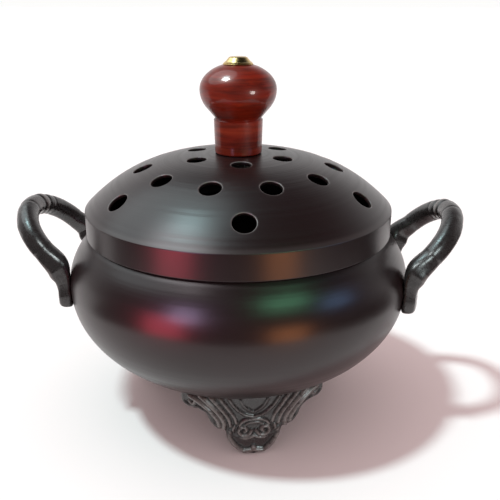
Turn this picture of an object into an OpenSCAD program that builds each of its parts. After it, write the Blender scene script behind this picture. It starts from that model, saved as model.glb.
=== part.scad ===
// Table censer: a round lacquered bowl on three cast feet, with two cast loop handles and a
// vented lid that lifts off by a turned wooden knob. Millimetres, +Z up. The origin is on the
// table, on the bowl's axis. The handles lie along X and the front foot faces -Y.

/* [Bowl] */
// Largest radius of the bowl
bowl_r = 67.8; // [62:0.2:74]
// Height of the bowl's widest ring above the table
belly_z = 56.8; // [54:0.2:60]
// Wall thickness of the spun bowl
bowl_wall = 1.6; // [1.2:0.1:2.2]
// Radius of the flat floor of the bowl's underside
base_r = 30.6; // [28:0.2:32]

/* [Lid] */
// Radius of the lid's band
lid_r = 60; // [58:0.2:61]
// Height of the crease between dome and band above the table
crease_z = 86; // [84:0.2:88]
// Rise of the dome above the crease
dome_h = 20; // [14:0.5:24]
// Height of the upright band
band_h = 9.6; // [7:0.2:10]
// Wall thickness of the lid
lid_wall = 1.4; // [1:0.1:2]

/* [Vents] */
// Number of holes in the inner, middle and outer rings
vent_counts = [6, 11, 6];
// Radius of each ring of holes
vent_rings = [18.7, 37.2, 51];
// Diameter of the holes in each ring
vent_dias = [7.5, 8, 8.2];

/* [Knob] */
// Largest radius of the knob's ball
ball_r = 14.6; // [12:0.2:17]
// Radius of the knob's stem where it meets the ball
stem_r = 9.4; // [8:0.1:10]
// Height of the stem
stem_h = 13.2; // [12:0.1:16]

/* [Handles] */
// Distance of the handle's outermost centre point from the axis
grip_x = 84.5; // [82:0.2:88]
// Height of that point above the table
grip_z = 83.1; // [80:0.5:88]
// Radius of the handle's rod
rod_r = 3.7; // [3:0.1:4.2]

/* [Feet] */
// Turn of the foot pattern about the bowl's axis
feet_turn = 9.9; // [-30:0.2:30]
// Outer radius of the feet
foot_r = 46.8; // [45:0.2:48]
// Thickness of a foot's cast wall
foot_wall = 6; // [5:0.5:7]

/* [Pan] */
// Radius of the charcoal pan's rim
pan_r = 48; // [40:0.5:50]

/* [Hidden] */
$fn = 96;

LACQUER = [0.10, 0.07, 0.07];
CAST = [0.16, 0.14, 0.13];
WOOD = [0.45, 0.10, 0.05];
BRASS = [0.80, 0.65, 0.35];
STEEL = [0.62, 0.62, 0.60];

// Bowl profile: a superellipse below the belly and a power curve above it
belly_drop = 45.8;
under_power = 2.17;
side_power = 1.68;
shoulder_z = crease_z - 10;
shoulder_r = lid_r - 1.2;
shoulder_power = 2.05;
neck_r = lid_r - 2.1;
neck_top_z = crease_z - 1.3;
under_steps = 16;
upper_steps = 9;
base_turn = acos(pow(base_r / bowl_r, side_power / 2));

function under_point(t) = [
  bowl_r * pow(cos(t), 2 / side_power),
  belly_z - belly_drop * pow(sin(t), 2 / under_power)
];
function upper_point(s) = [
  bowl_r - (bowl_r - shoulder_r) * pow(s, shoulder_power),
  belly_z + (shoulder_z - belly_z) * s
];
function under_normal(t) =
  let (d = under_point(t + 0.5) - under_point(max(t - 0.5, 0)))
  [-d[1], d[0]] / norm(d);
function upper_normal(s) =
  let (d = upper_point(s + 0.01) - upper_point(max(s - 0.01, 0)))
  [d[1], -d[0]] / norm(d);
under_turns = [for (i = [under_steps : -1 : 1]) base_turn * i / under_steps];
upper_shares = [for (i = [0 : upper_steps]) i / upper_steps];
under_outer = [for (t = under_turns) under_point(t)];
upper_outer = [for (s = upper_shares) upper_point(s)];
under_inner = [for (t = under_turns) under_point(t) - bowl_wall * under_normal(t)];
upper_inner = [for (s = upper_shares) upper_point(s) - bowl_wall * upper_normal(s)];
base_z = under_outer[0][1];
floor_z = base_z + bowl_wall;

function reversed(list) = [for (i = [len(list) - 1 : -1 : 0]) list[i]];

// Lid profile: a flattened dome that meets the band at a crease
dome_power = 3;
dome_steps = 22;
seat_r = 55.4;
band_inner_r = lid_r - lid_wall;
function dome_z(r) = crease_z + dome_h * (1 - pow(r / lid_r, dome_power));
function dome_slope(r) = dome_h * dome_power / lid_r * pow(r / lid_r, dome_power - 1);
function dome_inner(r) =
  let (run = norm([1, dome_slope(r)]))
  [max(r - lid_wall * dome_slope(r) / run, 0), dome_z(r) - lid_wall / run];
dome_top_z = crease_z + dome_h;
vent_phases = [6.4, 4.7 + 180 / 11, 5.4];

// Knob, stud and nuts
stem_foot_r = 9.05;
neck_cone_r = 9;
ball_low_r = 11.5;
ball_low_h = 7.3;
ball_low_axis = 11.9;
ball_high_axis = 9.8;
ball_flat_h = 9.1;
cone_h = 3.5;
ball_z = dome_top_z + stem_h + cone_h + ball_low_h;
ball_top_z = ball_z + ball_flat_h;
stud_r = 2.5;
stud_bore_r = 2.75;
cap_washer_r = 5.7;
cap_washer_h = 0.4;
cap_r = 5.3;
cap_top_r = 3.2;
cap_h = 2.4;
cap_bore_h = 1.4;
stud_gap = 0.2;
nut_across = 8;
nut_h = 4;
lid_washer_r = 5;
lid_washer_h = 1;
lid_spot_z = dome_top_z - lid_wall + 0.1;
lid_nut_z = lid_spot_z - lid_washer_h - nut_h;

// Screws: the head and washer are inside the bowl, and the thread goes into the casting
screw_r = 2;
screw_bore_r = 2.2;
head_r = 3.6;
head_h = 2.2;
washer_r = 4.4;
washer_h = 0.8;
spot_face = 0.2;
pad_screw_len = 5.2;
foot_screw_len = 8;

// Handle pads on the bowl's belly: the profile runs outwards from the bowl and up
pad_turn = 18;
pad_half_w = 4.2;
pad_screw_z = 56;
pad_profile = [
  [64, 50.4], [72.6, 50.4], [73, 59.5], [76, 64.6], [70.9, 70.4], [69.2, 69.6], [67.4, 61],
  [64, 58]
];
loop_half_w = 21.2;
loop_depth = 18;
loop_tail = 5;
loop_tilt = 46.5;
pad_thread_h = 3.6;

// Foot: half of its outline, across and up
foot_half = [
  [3.4, 0], [6.8, 2.8], [9.5, 7], [10.3, 10.2], [13.5, 11], [15.9, 13.6], [17.4, 16.6],
  [20.3, 18.4], [23.1, 18.6], [25.5, 20.2], [26.4, 25]
];
foot_top_z = 32;
foot_screw_r = 38;
foot_screw_turn = 12;
foot_boss_r = 4.4;
foot_boss_h = 10;
foot_thread_h = 7.5;
foot_screw_t = acos(pow(foot_screw_r / bowl_r, side_power / 2));
foot_seat = under_point(foot_screw_t);
foot_seat_normal = under_normal(foot_screw_t);
foot_screw_tilt = atan2(foot_seat_normal[0], foot_seat_normal[1]);

pan_foot_r = 25;
pan_wall = 1.2;
pan_floor_z = floor_z + 4;
pan_steps = 8;
pan_rim_z = 52;
pan_bead_r = 1.2;

// Solid of the bowl's outside, used to shape what is fastened to it
module bowl_outside() {
  rotate_extrude()
    polygon(concat([[0, base_z]], under_outer, upper_outer, [[0, shoulder_z]]));
}

// Carries its children to a handle pad's screw: X points outwards from the bowl's wall
module at_pad(side, front) {
  turn = side > 0 ? -front * pad_turn : 180 + front * pad_turn;
  rotate([0, 0, turn])
    translate([bowl_r, 0, pad_screw_z])
      children();
}

// Carries its children to a foot's screw: Z points outwards from the bowl's wall
module at_foot_screw(foot, hand) {
  rotate([0, 0, -90 + feet_turn + foot * 120 + hand * foot_screw_turn])
    translate([foot_seat[0], 0, foot_seat[1]])
      rotate([0, foot_screw_tilt, 0])
        children();
}

module bowl_shell() {
  color(LACQUER)
  difference() {
    rotate_extrude()
      polygon(concat(
        [[0, base_z]],
        under_outer,
        upper_outer,
        [[neck_r, shoulder_z], [neck_r, neck_top_z], [neck_r - bowl_wall, neck_top_z]],
        [[neck_r - bowl_wall, shoulder_z - bowl_wall]],
        reversed([for (i = [0 : upper_steps - 1]) upper_inner[i]]),
        reversed(under_inner),
        [[0, floor_z]]
      ));
    for (side = [-1, 1], front = [-1, 1])
      at_pad(side, front) {
        rotate([0, 90, 0])
          cylinder(h = 12, r = screw_bore_r, center = true);
        translate([-bowl_wall - 5, 0, 0])
          rotate([0, 90, 0])
            cylinder(h = 5 + spot_face, r = washer_r + 0.2);
      }
    for (foot = [0 : 2], hand = [-1, 1])
      at_foot_screw(foot, hand) {
        cylinder(h = 12, r = screw_bore_r, center = true);
        translate([0, 0, -bowl_wall - 5])
          cylinder(h = 5 + spot_face, r = washer_r + 0.2);
      }
  }
}

module lid_shell() {
  rim_steps = [for (i = [0 : dome_steps]) i / dome_steps];
  under_steps_r = [for (i = [0 : dome_steps]) seat_r * i / dome_steps];
  color(LACQUER)
  difference() {
    rotate_extrude()
      polygon(concat(
        [for (s = rim_steps) [lid_r * s, dome_z(lid_r * s)]],
        [[lid_r, crease_z - band_h], [band_inner_r, crease_z - band_h]],
        [[band_inner_r, neck_top_z], [seat_r, neck_top_z]],
        reversed([for (r = under_steps_r) dome_inner(r)])
      ));
    cylinder(h = 2 * dome_top_z, r = stud_bore_r);
    cylinder(h = lid_spot_z, r = lid_washer_r + 0.2);
    for (ring = [0 : 2], k = [0 : vent_counts[ring] - 1])
      rotate([0, 0, -90 + vent_phases[ring] + 360 * k / vent_counts[ring]])
        translate([vent_rings[ring], 0, dome_z(vent_rings[ring])])
          rotate([0, atan(dome_slope(vent_rings[ring])), 0])
            cylinder(h = 12, d = vent_dias[ring], center = true);
  }
}

module knob() {
  low_turns = [for (i = [0 : 6]) asin(ball_low_h / ball_low_axis) * (1 - i / 6)];
  high_turns = [for (i = [1 : 9]) asin(ball_flat_h / ball_high_axis) * i / 9];
  color(WOOD)
  difference() {
    rotate_extrude()
      polygon(concat(
        [[0, dome_top_z], [stem_foot_r, dome_top_z]],
        [[stem_r, dome_top_z + stem_h], [neck_cone_r, dome_top_z + stem_h]],
        [for (t = low_turns) [ball_r * cos(t), ball_z - ball_low_axis * sin(t)]],
        [for (t = high_turns) [ball_r * cos(t), ball_z + ball_high_axis * sin(t)]],
        [[0, ball_top_z]]
      ));
    cylinder(h = 3 * dome_top_z, r = stud_bore_r);
  }
}

module knob_stud() {
  stud_foot_z = lid_nut_z - 1.5;
  color(STEEL)
  translate([0, 0, stud_foot_z])
    cylinder(h = ball_top_z + cap_washer_h + cap_bore_h - stud_gap - stud_foot_z, r = stud_r);
}

module knob_cap_washer() {
  color(BRASS)
  translate([0, 0, ball_top_z])
    difference() {
      cylinder(h = cap_washer_h, r = cap_washer_r);
      translate([0, 0, -1])
        cylinder(h = 3, r = stud_bore_r);
    }
}

module knob_cap_nut() {
  foot_z = ball_top_z + cap_washer_h;
  color(BRASS)
  difference() {
    rotate_extrude()
      polygon([
        [0, foot_z], [cap_r, foot_z], [cap_r, foot_z + 0.4],
        [cap_top_r + 0.3, foot_z + cap_h - 0.3], [cap_top_r - 0.3, foot_z + cap_h],
        [0, foot_z + cap_h]
      ]);
    translate([0, 0, foot_z - 1])
      cylinder(h = cap_bore_h + 1, r = stud_r);
  }
}

module lid_washer() {
  color(STEEL)
  translate([0, 0, lid_spot_z - lid_washer_h])
    difference() {
      cylinder(h = lid_washer_h, r = lid_washer_r);
      translate([0, 0, -1])
        cylinder(h = 3, r = stud_bore_r);
    }
}

module lid_nut() {
  color(STEEL)
  translate([0, 0, lid_nut_z])
    difference() {
      cylinder(h = nut_h, d = nut_across / cos(30), $fn = 6);
      translate([0, 0, -1])
        cylinder(h = nut_h + 2, r = stud_r);
    }
}

// A loop of rod in the X, Y plane that opens towards -X: two quarter rings, a short straight
// between them at the grip, and a straight tail on each leg
module loop() {
  straight = loop_half_w - loop_depth;
  for (front = [-1, 1])
    translate([0, front * straight, 0]) {
      rotate([0, 0, front > 0 ? 0 : -90])
        rotate_extrude(angle = 90)
          translate([loop_depth, 0])
            circle(r = rod_r, $fn = 32);
      translate([-loop_tail, front * loop_depth, 0])
        rotate([0, 90, 0])
          cylinder(h = loop_tail, r = rod_r, $fn = 32);
    }
  translate([loop_depth, 0, 0])
    rotate([90, 0, 0])
      cylinder(h = 2 * straight, r = rod_r, center = true, $fn = 32);
}

module handle(side) {
  color(CAST)
  difference() {
    mirror([side > 0 ? 0 : 1, 0, 0])
      union() {
        translate([grip_x, 0, grip_z])
          rotate([0, -loop_tilt, 0])
            translate([-loop_depth, 0, 0])
              loop();
        for (front = [-1, 1])
          rotate([90, 0, front * pad_turn])
            linear_extrude(height = 2 * pad_half_w, center = true)
              polygon(pad_profile);
      }
    bowl_outside();
    for (front = [-1, 1])
      at_pad(side, front)
        rotate([0, 90, 0])
          translate([0, 0, -1])
            cylinder(h = pad_thread_h + 1, r = screw_r);
  }
}

module handle_left() { handle(-1); }
module handle_right() { handle(1); }

module screw(length) {
  color(STEEL)
  difference() {
    union() {
      cylinder(h = length, r = screw_r - 0.05);
      translate([0, 0, -head_h])
        cylinder(h = head_h, r = head_r);
    }
    translate([-3, -0.5, -head_h - 1])
      cube([6, 1, 1.9]);
  }
}

module washer() {
  color(STEEL)
  difference() {
    cylinder(h = washer_h, r = washer_r);
    translate([0, 0, -1])
      cylinder(h = 3, r = screw_bore_r);
  }
}

module handle_screw(side, front) {
  at_pad(side, front)
    rotate([0, 90, 0])
      translate([0, 0, -bowl_wall - washer_h + spot_face])
        screw(pad_screw_len);
}

module handle_washer(side, front) {
  at_pad(side, front)
    rotate([0, 90, 0])
      translate([0, 0, -bowl_wall - washer_h + spot_face])
        washer();
}

// Foot 0 is at the front, and the others follow every 120 degrees
module foot(index) {
  color(CAST)
  difference() {
    rotate([0, 0, -90 + feet_turn + index * 120])
      union() {
        intersection() {
          difference() {
            cylinder(h = foot_top_z, r = foot_r);
            translate([0, 0, -1])
              cylinder(h = foot_top_z + 2, r = foot_r - foot_wall);
          }
          translate([foot_r - 24, 0, 0])
            rotate([90, 0, 90])
              linear_extrude(height = 26)
                polygon(concat(
                  foot_half,
                  [[foot_half[10][0], foot_top_z], [-foot_half[10][0], foot_top_z]],
                  reversed([for (p = foot_half) [-p[0], p[1]]])
                ));
        }
        for (hand = [-1, 1])
          rotate([0, 0, hand * foot_screw_turn])
            translate([foot_seat[0], 0, foot_seat[1]])
              rotate([0, foot_screw_tilt, 0])
                cylinder(h = foot_boss_h, r = foot_boss_r);
      }
    bowl_outside();
    for (hand = [-1, 1])
      at_foot_screw(index, hand)
        translate([0, 0, -1])
          cylinder(h = foot_thread_h + 1, r = screw_r);
  }
}

module foot_screw(index, hand) {
  at_foot_screw(index, hand)
    translate([0, 0, -bowl_wall - washer_h + spot_face])
      screw(foot_screw_len);
}

module foot_washer(index, hand) {
  at_foot_screw(index, hand)
    translate([0, 0, -bowl_wall - washer_h + spot_face])
      washer();
}

// Loose dish for charcoal or resin, standing on its rolled foot ring inside the bowl
module charcoal_pan() {
  shares = [for (i = [0 : pan_steps]) i / pan_steps];
  outer = [for (s = shares) [
    pan_foot_r + (pan_r - pan_foot_r) * sin(90 * s),
    pan_floor_z + (pan_rim_z - pan_floor_z) * (1 - cos(90 * s))
  ]];
  inner = [for (p = outer) [p[0] - pan_wall * (p[1] - pan_floor_z) / (pan_rim_z - pan_floor_z),
    p[1] + pan_wall * (1 - (p[1] - pan_floor_z) / (pan_rim_z - pan_floor_z))]];
  color(STEEL)
  rotate_extrude()
    polygon(concat(
      [[0, pan_floor_z], [pan_foot_r - 2.4, pan_floor_z], [pan_foot_r - 2.4, floor_z]],
      [[pan_foot_r - 1.2, floor_z], [pan_foot_r - 1.2, pan_floor_z]],
      outer,
      [[pan_r + pan_bead_r, pan_rim_z], [pan_r + pan_bead_r, pan_rim_z + 2 * pan_bead_r]],
      [[pan_r - pan_wall, pan_rim_z + 2 * pan_bead_r]],
      reversed(inner),
      [[0, pan_floor_z + pan_wall]]
    ));
}

bowl_shell();
charcoal_pan();
lid_shell();
knob();
knob_stud();
knob_cap_nut();
knob_cap_washer();
lid_washer();
lid_nut();
handle_left();
handle_right();
handle_screw(-1, 1);  // handle_screw_left_front
handle_screw(-1, -1);  // handle_screw_left_back
handle_screw(1, 1);  // handle_screw_right_front
handle_screw(1, -1);  // handle_screw_right_back
handle_washer(-1, 1);  // handle_washer_left_front
handle_washer(-1, -1);  // handle_washer_left_back
handle_washer(1, 1);  // handle_washer_right_front
handle_washer(1, -1);  // handle_washer_right_back
foot(0);  // foot_front
foot(1);  // foot_back_right
foot(2);  // foot_back_left
foot_screw(0, -1);  // foot_screw_front_1
foot_screw(0, 1);  // foot_screw_front_2
foot_screw(1, -1);  // foot_screw_back_right_1
foot_screw(1, 1);  // foot_screw_back_right_2
foot_screw(2, -1);  // foot_screw_back_left_1
foot_screw(2, 1);  // foot_screw_back_left_2
foot_washer(0, -1);  // foot_washer_front_1
foot_washer(0, 1);  // foot_washer_front_2
foot_washer(1, -1);  // foot_washer_back_right_1
foot_washer(1, 1);  // foot_washer_back_right_2
foot_washer(2, -1);  // foot_washer_back_left_1
foot_washer(2, 1);  // foot_washer_back_left_2
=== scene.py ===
import math

import bpy
import numpy as np
from mathutils import Matrix, Vector
from mathutils.geometry import delaunay_2d_cdt


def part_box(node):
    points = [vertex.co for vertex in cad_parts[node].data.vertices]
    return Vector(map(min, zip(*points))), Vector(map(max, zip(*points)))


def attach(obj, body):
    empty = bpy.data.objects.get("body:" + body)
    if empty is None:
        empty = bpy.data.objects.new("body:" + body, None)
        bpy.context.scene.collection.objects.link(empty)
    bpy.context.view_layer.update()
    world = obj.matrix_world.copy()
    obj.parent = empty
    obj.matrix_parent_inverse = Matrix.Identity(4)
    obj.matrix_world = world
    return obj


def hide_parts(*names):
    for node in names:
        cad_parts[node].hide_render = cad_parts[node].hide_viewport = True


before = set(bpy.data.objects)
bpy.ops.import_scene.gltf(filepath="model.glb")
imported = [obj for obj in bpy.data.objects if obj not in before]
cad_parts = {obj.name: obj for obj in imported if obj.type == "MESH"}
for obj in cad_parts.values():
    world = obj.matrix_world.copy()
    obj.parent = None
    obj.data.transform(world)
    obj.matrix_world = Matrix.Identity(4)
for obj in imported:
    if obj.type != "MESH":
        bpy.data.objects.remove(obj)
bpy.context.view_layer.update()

# Shapes are worked out in millimetres in the row frame, and written in metres.
MM = 0.001
TURN = 2 * math.pi


def box_mm(node):
    """Lowest and highest corner of a CAD node, in millimetres."""
    low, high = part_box(node)
    return np.array(low) / MM, np.array(high) / MM


# ---------------------------------------------------------------- the frame's driving sizes

bowl_low, bowl_high = box_mm("bowl_shell")
lid_low, lid_high = box_mm("lid_shell")
knob_low, knob_high = box_mm("knob")
cap_low, cap_high = box_mm("knob_cap_nut")
cap_washer_low, cap_washer_high = box_mm("knob_cap_washer")
pan_low, pan_high = box_mm("charcoal_pan")

BOWL_R = bowl_high[1]
BASE_Z = bowl_low[2]
NECK_TOP_Z = bowl_high[2]
LID_R = lid_high[1]
BAND_LOW_Z = lid_low[2]
DOME_TOP_Z = lid_high[2]
DOME_H = 20.0
CREASE_Z = DOME_TOP_Z - DOME_H    # where the dome meets the lid's upright band
BELLY_Z = CREASE_Z - 29.2         # where the bowl is widest
BALL_R = knob_high[0]
PAN_R = pan_high[0]


# ---------------------------------------------------------------- mesh helpers

def unit(v):
    """Rows of vectors made one long."""
    v = np.asarray(v, float)
    return v / np.maximum(np.linalg.norm(v, axis=-1, keepdims=True), 1e-12)


def make_piece(name, verts, faces, material, body, replaces, normals=None, wear_and_painted_light=None):
    """A smooth-shaded mesh piece from vertices in millimetres, riding on a body.
    Its wear and painted light, from 0 to 1 at each vertex, is read by the materials:
    high values paint worn edges with a painted highlight, and on the castings low values paint
    shade into hollows."""
    mesh = bpy.data.meshes.new(name)
    mesh.from_pydata((np.asarray(verts, float) * MM).tolist(), [], [list(f) for f in faces])
    mesh.validate()
    mesh.polygons.foreach_set("use_smooth", [True] * len(mesh.polygons))
    mesh.materials.append(material)
    mesh.update()
    if normals is not None:
        mesh.normals_split_custom_set_from_vertices(np.asarray(normals, float).tolist())
    # A per-vertex value that the materials paint as wear, painted highlight and painted shade
    worn_and_lit = mesh.attributes.new("wear_and_painted_light", "FLOAT", "POINT")
    if wear_and_painted_light is not None:
        worn_and_lit.data.foreach_set("value", np.clip(wear_and_painted_light, 0, 1).astype(np.float32))
    piece = bpy.data.objects.new(name, mesh)
    bpy.context.scene.collection.objects.link(piece)
    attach(piece, body)
    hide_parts(*replaces)


def rounded(points, steps=4):
    """An outline through (r, z, corner radius) points, with each corner an arc."""
    out = []
    for i, (r, z, radius) in enumerate(points):
        p = np.array([r, z], float)
        if radius <= 0 or i in (0, len(points) - 1):
            out.append(p)
            continue
        a = np.array(points[i - 1][:2], float) - p
        b = np.array(points[i + 1][:2], float) - p
        ua, ub = unit(a), unit(b)
        half = math.acos(float(np.clip(ua @ ub, -1, 1))) / 2
        reach = min(radius / math.tan(half), 0.49 * np.linalg.norm(a), 0.49 * np.linalg.norm(b))
        centre = p + unit(ua + ub) * reach / math.cos(half)
        start, end = p + ua * reach - centre, p + ub * reach - centre
        first = math.atan2(start[1], start[0])
        sweep = (math.atan2(end[1], end[0]) - first + math.pi) % TURN - math.pi
        size = np.linalg.norm(start)
        for k in range(steps + 1):
            angle = first + sweep * k / steps
            out.append(centre + size * np.array([math.cos(angle), math.sin(angle)]))
    return out


def lathe(profile, segments):
    """Vertices and faces of an outline of (r, z) points turned about Z.
    The outline runs with the solid on its left, and a closed one repeats no point."""
    profile = np.asarray(profile, float)
    count = len(profile)
    verts, rows = [], []
    for r, z in profile:
        if r < 1e-6:
            rows.append([len(verts)] * segments)
            verts.append((0.0, 0.0, z))
            continue
        rows.append(list(range(len(verts), len(verts) + segments)))
        for k in range(segments):
            angle = TURN * k / segments
            verts.append((r * math.cos(angle), r * math.sin(angle), z))
    closed = profile[0][0] > 1e-6 or profile[-1][0] > 1e-6
    faces = []
    for i in range(count if closed else count - 1):
        low, high = rows[i], rows[(i + 1) % count]
        for k in range(segments):
            n = (k + 1) % segments
            face = [low[k], low[n], high[n], high[k]]
            face = [f for j, f in enumerate(face) if f not in face[:j]]
            if len(face) > 2:
                faces.append(face)
    return np.array(verts), faces


def outline_normals(profile, segments):
    """Normals for lathe(), weighted by the length of the outline's own segments."""
    profile = np.asarray(profile, float)
    closed = profile[0][0] > 1e-6 or profile[-1][0] > 1e-6
    step = np.roll(profile, -1, axis=0) - profile
    side = np.stack([step[:, 1], -step[:, 0]], 1)
    if not closed:
        side[-1] = 0
    normals = []
    for (r, z), (nr, nz) in zip(profile, unit(side + np.roll(side, 1, axis=0))):
        if r < 1e-6:
            normals.append((0.0, 0.0, 1.0 if nz > 0 else -1.0))
            continue
        for k in range(segments):
            angle = TURN * k / segments
            normals.append((nr * math.cos(angle), nr * math.sin(angle), nz))
    return np.array(normals)


def turned_piece(name, profile, material, body, replaces, segments):
    """A piece turned on a lathe, from its outline."""
    verts, faces = lathe(profile, segments)
    make_piece(name, verts, faces, material, body, replaces,
               outline_normals(profile, segments))


def smooth_path(points, per_span):
    """A Catmull-Rom curve through rows of numbers."""
    p = np.asarray(points, float)
    p = np.vstack([2 * p[0] - p[1], p, 2 * p[-1] - p[-2]])
    out = []
    for i in range(1, len(p) - 2):
        a, b, c, d = p[i - 1:i + 3]
        for t in np.linspace(0, 1, per_span, endpoint=False):
            out.append(0.5 * (2 * b + (c - a) * t + (2 * a - 5 * b + 4 * c - d) * t * t
                              + (3 * b - a - 3 * c + d) * t ** 3))
    out.append(p[-2])
    return np.array(out)


def bell(value, middle, width):
    """A smooth bump of height 1 about a middle value."""
    return np.exp(-((value - middle) / width) ** 2)


def wobble(p, scale, seed):
    """A cheap smooth pseudo-noise in -1..1 at rows of points."""
    p = np.asarray(p, float) / scale
    x, y, z = p[..., 0], p[..., 1], p[..., 2]
    return (np.sin(1.7 * x + 2.3 * y + seed) * np.cos(1.3 * z - 0.7 * x + 2 * seed)
            + np.sin(2.9 * z + 1.1 * y - seed) * np.cos(2.1 * y - 1.9 * z + seed)) / 2


# ---------------------------------------------------------------- materials

class Nodes:
    """A short way to write a procedural material."""

    def __init__(self, name):
        self.material = bpy.data.materials.new(name)
        self.material.use_nodes = True
        self.tree = self.material.node_tree
        self.shader = self.tree.nodes["Principled BSDF"]
        self.coords = self.add("ShaderNodeTexCoord").outputs["Object"]

    def add(self, kind, **values):
        node = self.tree.nodes.new(kind)
        for key, value in values.items():
            setattr(node, key, value)
        return node

    def link(self, source, target):
        self.tree.links.new(source, target)

    def put(self, socket, value):
        if isinstance(value, bpy.types.NodeSocket):
            self.link(value, socket)
        else:
            socket.default_value = value

    def set(self, **values):
        for key, value in values.items():
            self.put(self.shader.inputs[key.replace("_", " ")], value)

    def noise(self, scale, detail=3.0, rough=0.55, stretch=(1, 1, 1), distortion=0.0):
        mapping = self.add("ShaderNodeMapping")
        mapping.inputs["Scale"].default_value = stretch
        self.link(self.coords, mapping.inputs["Vector"])
        node = self.add("ShaderNodeTexNoise")
        node.inputs["Scale"].default_value = scale
        node.inputs["Detail"].default_value = detail
        node.inputs["Roughness"].default_value = rough
        node.inputs["Distortion"].default_value = distortion
        self.link(mapping.outputs["Vector"], node.inputs["Vector"])
        return node.outputs["Fac"]

    def ramp(self, value, stops):
        node = self.add("ShaderNodeValToRGB")
        while len(node.color_ramp.elements) < len(stops):
            node.color_ramp.elements.new(0.5)
        for element, (place, colour) in zip(node.color_ramp.elements, stops):
            element.position = place
            element.color = (*colour, 1) if len(colour) == 3 else colour
        self.link(value, node.inputs["Fac"])
        return node.outputs["Color"]

    def scale(self, value, low, high, from_low=0.0, from_high=1.0):
        """A value's range mapped to low..high."""
        node = self.add("ShaderNodeMapRange")
        node.inputs["From Min"].default_value = from_low
        node.inputs["From Max"].default_value = from_high
        node.inputs["To Min"].default_value = low
        node.inputs["To Max"].default_value = high
        self.link(value, node.inputs["Value"])
        return node.outputs["Result"]

    def math(self, operation, a, b=0.0):
        node = self.add("ShaderNodeMath", operation=operation)
        self.put(node.inputs[0], a)
        self.put(node.inputs[1], b)
        return node.outputs["Value"]

    def mix(self, share, a, b):
        node = self.add("ShaderNodeMix", data_type="RGBA")
        self.put(node.inputs["Factor"], share)
        self.put(node.inputs[6], a)
        self.put(node.inputs[7], b)
        return node.outputs[2]

    def wear_and_painted_light(self):
        """The wear and painted light that make_piece stored on the mesh."""
        return self.add("ShaderNodeAttribute", attribute_name="wear_and_painted_light").outputs["Fac"]

    def radius(self):
        """Distance from the object's Z axis, in metres."""
        flat = self.add("ShaderNodeVectorMath", operation="MULTIPLY")
        self.link(self.coords, flat.inputs[0])
        flat.inputs[1].default_value = (1, 1, 0)
        size = self.add("ShaderNodeVectorMath", operation="LENGTH")
        self.link(flat.outputs["Vector"], size.inputs[0])
        return size.outputs["Value"]

    def height(self):
        """Height above the table, in metres."""
        split = self.add("ShaderNodeSeparateXYZ")
        self.link(self.coords, split.inputs[0])
        return split.outputs["Z"]

    def lines(self, along, scale, detail=2.0):
        """Noise that varies only with one value, as the lines that a lathe leaves."""
        join = self.add("ShaderNodeCombineXYZ")
        self.link(along, join.inputs["X"])
        node = self.add("ShaderNodeTexNoise")
        node.inputs["Scale"].default_value = scale
        node.inputs["Detail"].default_value = detail
        self.link(join.outputs["Vector"], node.inputs["Vector"])
        return node.outputs["Fac"]

    def bump(self, height, distance, strength=1.0, normal=None):
        node = self.add("ShaderNodeBump")
        node.inputs["Distance"].default_value = distance
        node.inputs["Strength"].default_value = strength
        self.link(height, node.inputs["Height"])
        if normal is not None:
            self.link(normal, node.inputs["Normal"])
        return node.outputs["Normal"]


def lacquer_material():
    """Satin brown-black lacquer with faint spinning rings, painted pale at the vents' rims and
    the lid's edges as wear with a painted highlight.
    """
    m = Nodes("lacquer")
    broad = m.noise(14, 2)
    fine = m.noise(1300, 2)
    base = m.ramp(broad, [(0.3, (0.0100, 0.0044, 0.0046)), (0.7, (0.0165, 0.0064, 0.0070))])
    # Pale at the vents' rims and the lid's edges: wear, and a painted highlight standing in for
    # light catching the edges
    colour = m.mix(m.wear_and_painted_light(), base, (0.20, 0.19, 0.185, 1))
    rings = m.lines(m.radius(), 480, 2)
    m.set(Base_Color=colour, Metallic=0.0, IOR=1.5, Specular_IOR_Level=0.5)
    m.set(Roughness=m.math("ADD", m.scale(rings, 0.29, 0.35, 0.3, 0.7),
                           m.scale(fine, -0.03, 0.03)))
    first = m.bump(rings, 0.00018, 0.6)
    second = m.bump(fine, 0.00001, 0.5, first)
    m.set(Normal=m.bump(broad, 0.0004, 0.25, second))
    return m.material


def cast_material():
    """Dark cast metal, painted paler on its crests as wear and painted highlight, and near black
    in its hollows as painted shade.
    """
    m = Nodes("cast")
    broad = m.noise(90, 3)
    fine = m.noise(700, 4, 0.6)
    wear_and_painted_light = m.wear_and_painted_light()
    base = m.ramp(broad, [(0.3, (0.014, 0.012, 0.012)), (0.7, (0.028, 0.024, 0.024))])
    # Crests painted pale: wear, and a painted highlight in place of glints
    crest_wear_and_highlight = m.math("MULTIPLY", m.scale(wear_and_painted_light, 0.0, 1.0, 0.45, 1.15),
                    m.scale(fine, 0.5, 1.0, 0.3, 0.6))
    worn_and_lit = m.mix(crest_wear_and_highlight, base, (0.22, 0.20, 0.19, 1))
    # Hollows painted near black: painted shade
    hollow_painted_shade = m.scale(wear_and_painted_light, 0.75, 0.0, -0.3, 0.12)
    colour = m.mix(hollow_painted_shade, worn_and_lit, (0.006, 0.005, 0.005, 1))
    m.set(Base_Color=colour, Metallic=0.0, Specular_IOR_Level=0.8)
    m.set(Roughness=m.scale(fine, 0.20, 0.38, 0.3, 0.7))
    m.set(Normal=m.bump(fine, 0.00012, 0.5, m.bump(broad, 0.0005, 0.35)))
    return m.material


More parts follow.
